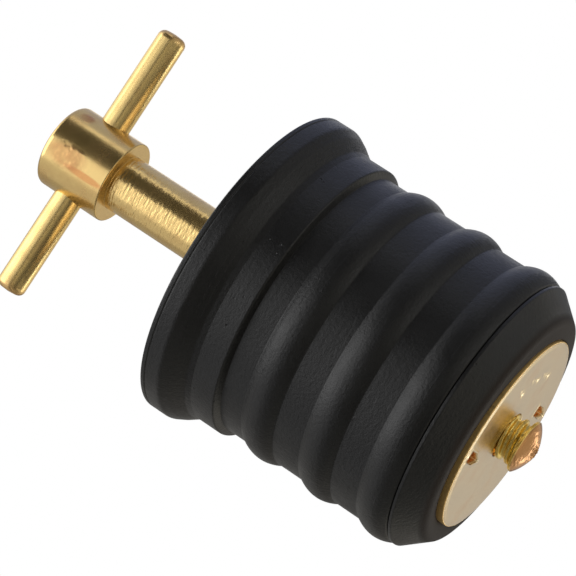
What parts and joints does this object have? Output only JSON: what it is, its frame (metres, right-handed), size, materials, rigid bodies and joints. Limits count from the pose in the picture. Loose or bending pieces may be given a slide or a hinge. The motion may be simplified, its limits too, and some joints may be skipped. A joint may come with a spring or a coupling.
{
  "type": "expanding drain plug",
  "caption": "Ribbed rubber plug for a boat's drain, squeezed between brass discs by a screw with a T-handle so that it swells and seals.",
  "frame": {"origin": "on the plug's axis, in the middle of the rubber's seat land", "axes": "+Z along the axis towards the handle, +X along the cross bar"},
  "size_m": [0.0344, 0.0344, 0.0595],
  "materials": {
    "moulded_rubber": "moulded, with a soft sheen",
    "stamped_brass": "stamped and tumbled bright",
    "turned_brass": "turned and polished"
  },
  "bodies": {
    "plug": {"rubber_plug": "moulded_rubber", "top_washer": "stamped_brass"},
    "plate": {"nut_plate": "stamped_brass"},
    "handle": {"t_handle": "turned_brass", "cross_bar": "turned_brass"}
  },
  "joints": [
    {"name": "handle_turn", "type": "hinge", "parent": "plug", "child": "handle", "pos_m": [0, 0, 0], "axis": [0, 0, 1], "range_deg": [-1260, 610]},
    {"name": "plate_draw", "type": "slide", "parent": "plug", "child": "plate", "axis": [0, 0, 1], "range_m": [-0.00182, 0.00372], "deforming": ["rubber_plug"]}
  ],
  "couplings": [
    {"joint": "plate_draw", "follows": "handle_turn", "m_per_rad": -0.00016839}
  ]
}
